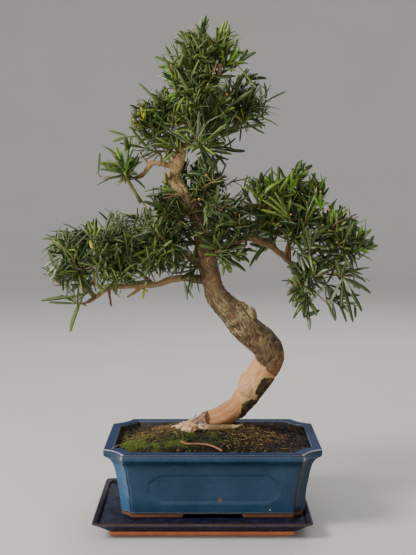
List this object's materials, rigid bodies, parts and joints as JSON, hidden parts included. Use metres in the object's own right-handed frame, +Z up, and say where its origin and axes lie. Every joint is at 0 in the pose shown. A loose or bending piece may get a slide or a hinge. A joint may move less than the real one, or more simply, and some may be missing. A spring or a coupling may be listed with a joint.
{
  "type": "podocarpus bonsai",
  "caption": "Small-leaved evergreen bonsai with an S-curved trunk and open leafy crown, in a cut-corner blue glazed pot on a drip tray.",
  "frame": {"origin": "centre of the flat underside of the drip tray, on the surface it stands on", "axes": "+Z up along the tree, +X to the right of the front, +Y away from the front"},
  "size_m": [0.4679, 0.2335, 0.6998],
  "materials": {
    "pot_glaze": "mottled blue gloss glaze over brown stoneware, bare at the feet",
    "tray_glaze": "speckled dark blue gloss glaze, bare at the foot",
    "soil": "dark granular soil",
    "moss": "green moss",
    "bark": "flaky brown bark with smooth tan patches",
    "foliage": "leathery dark green narrow leaves"
  },
  "bodies": {
    "root": {"tray": "tray_glaze", "pot": "pot_glaze", "soil": "soil", "moss_left": "moss", "moss_front": "moss", "moss_centre": "moss", "trunk": "bark", "left_bough": "bark", "left_front_riser": "bark", "left_back_riser": "bark", "left_dead_spur": "bark", "inner_left_bough": "bark", "right_bough": "bark", "right_inner_riser": "bark", "right_mid_riser": "bark", "right_far_riser": "bark", "right_low_spur": "bark", "right_back_riser": "bark", "upper_left_bough": "bark", "crown_left_bough": "bark", "crown_right_bough": "bark", "foliage_apex": "foliage", "foliage_leader": "foliage", "foliage_crown_left": "foliage", "foliage_crown_right": "foliage", "foliage_crown_front": "foliage", "foliage_crown_back": "foliage", "foliage_left_tuft": "foliage", "foliage_centre_front": "foliage", "foliage_centre_back": "foliage", "foliage_centre_left": "foliage", "foliage_centre_low": "foliage", "foliage_inner_left": "foliage", "foliage_mid_left": "foliage", "foliage_back_left": "foliage", "foliage_far_left": "foliage", "foliage_right_inner": "foliage", "foliage_right_mid": "foliage", "foliage_right_far": "foliage", "foliage_right_lower": "foliage", "foliage_right_low": "foliage", "foliage_right_back": "foliage"}
  },
  "joints": []
}
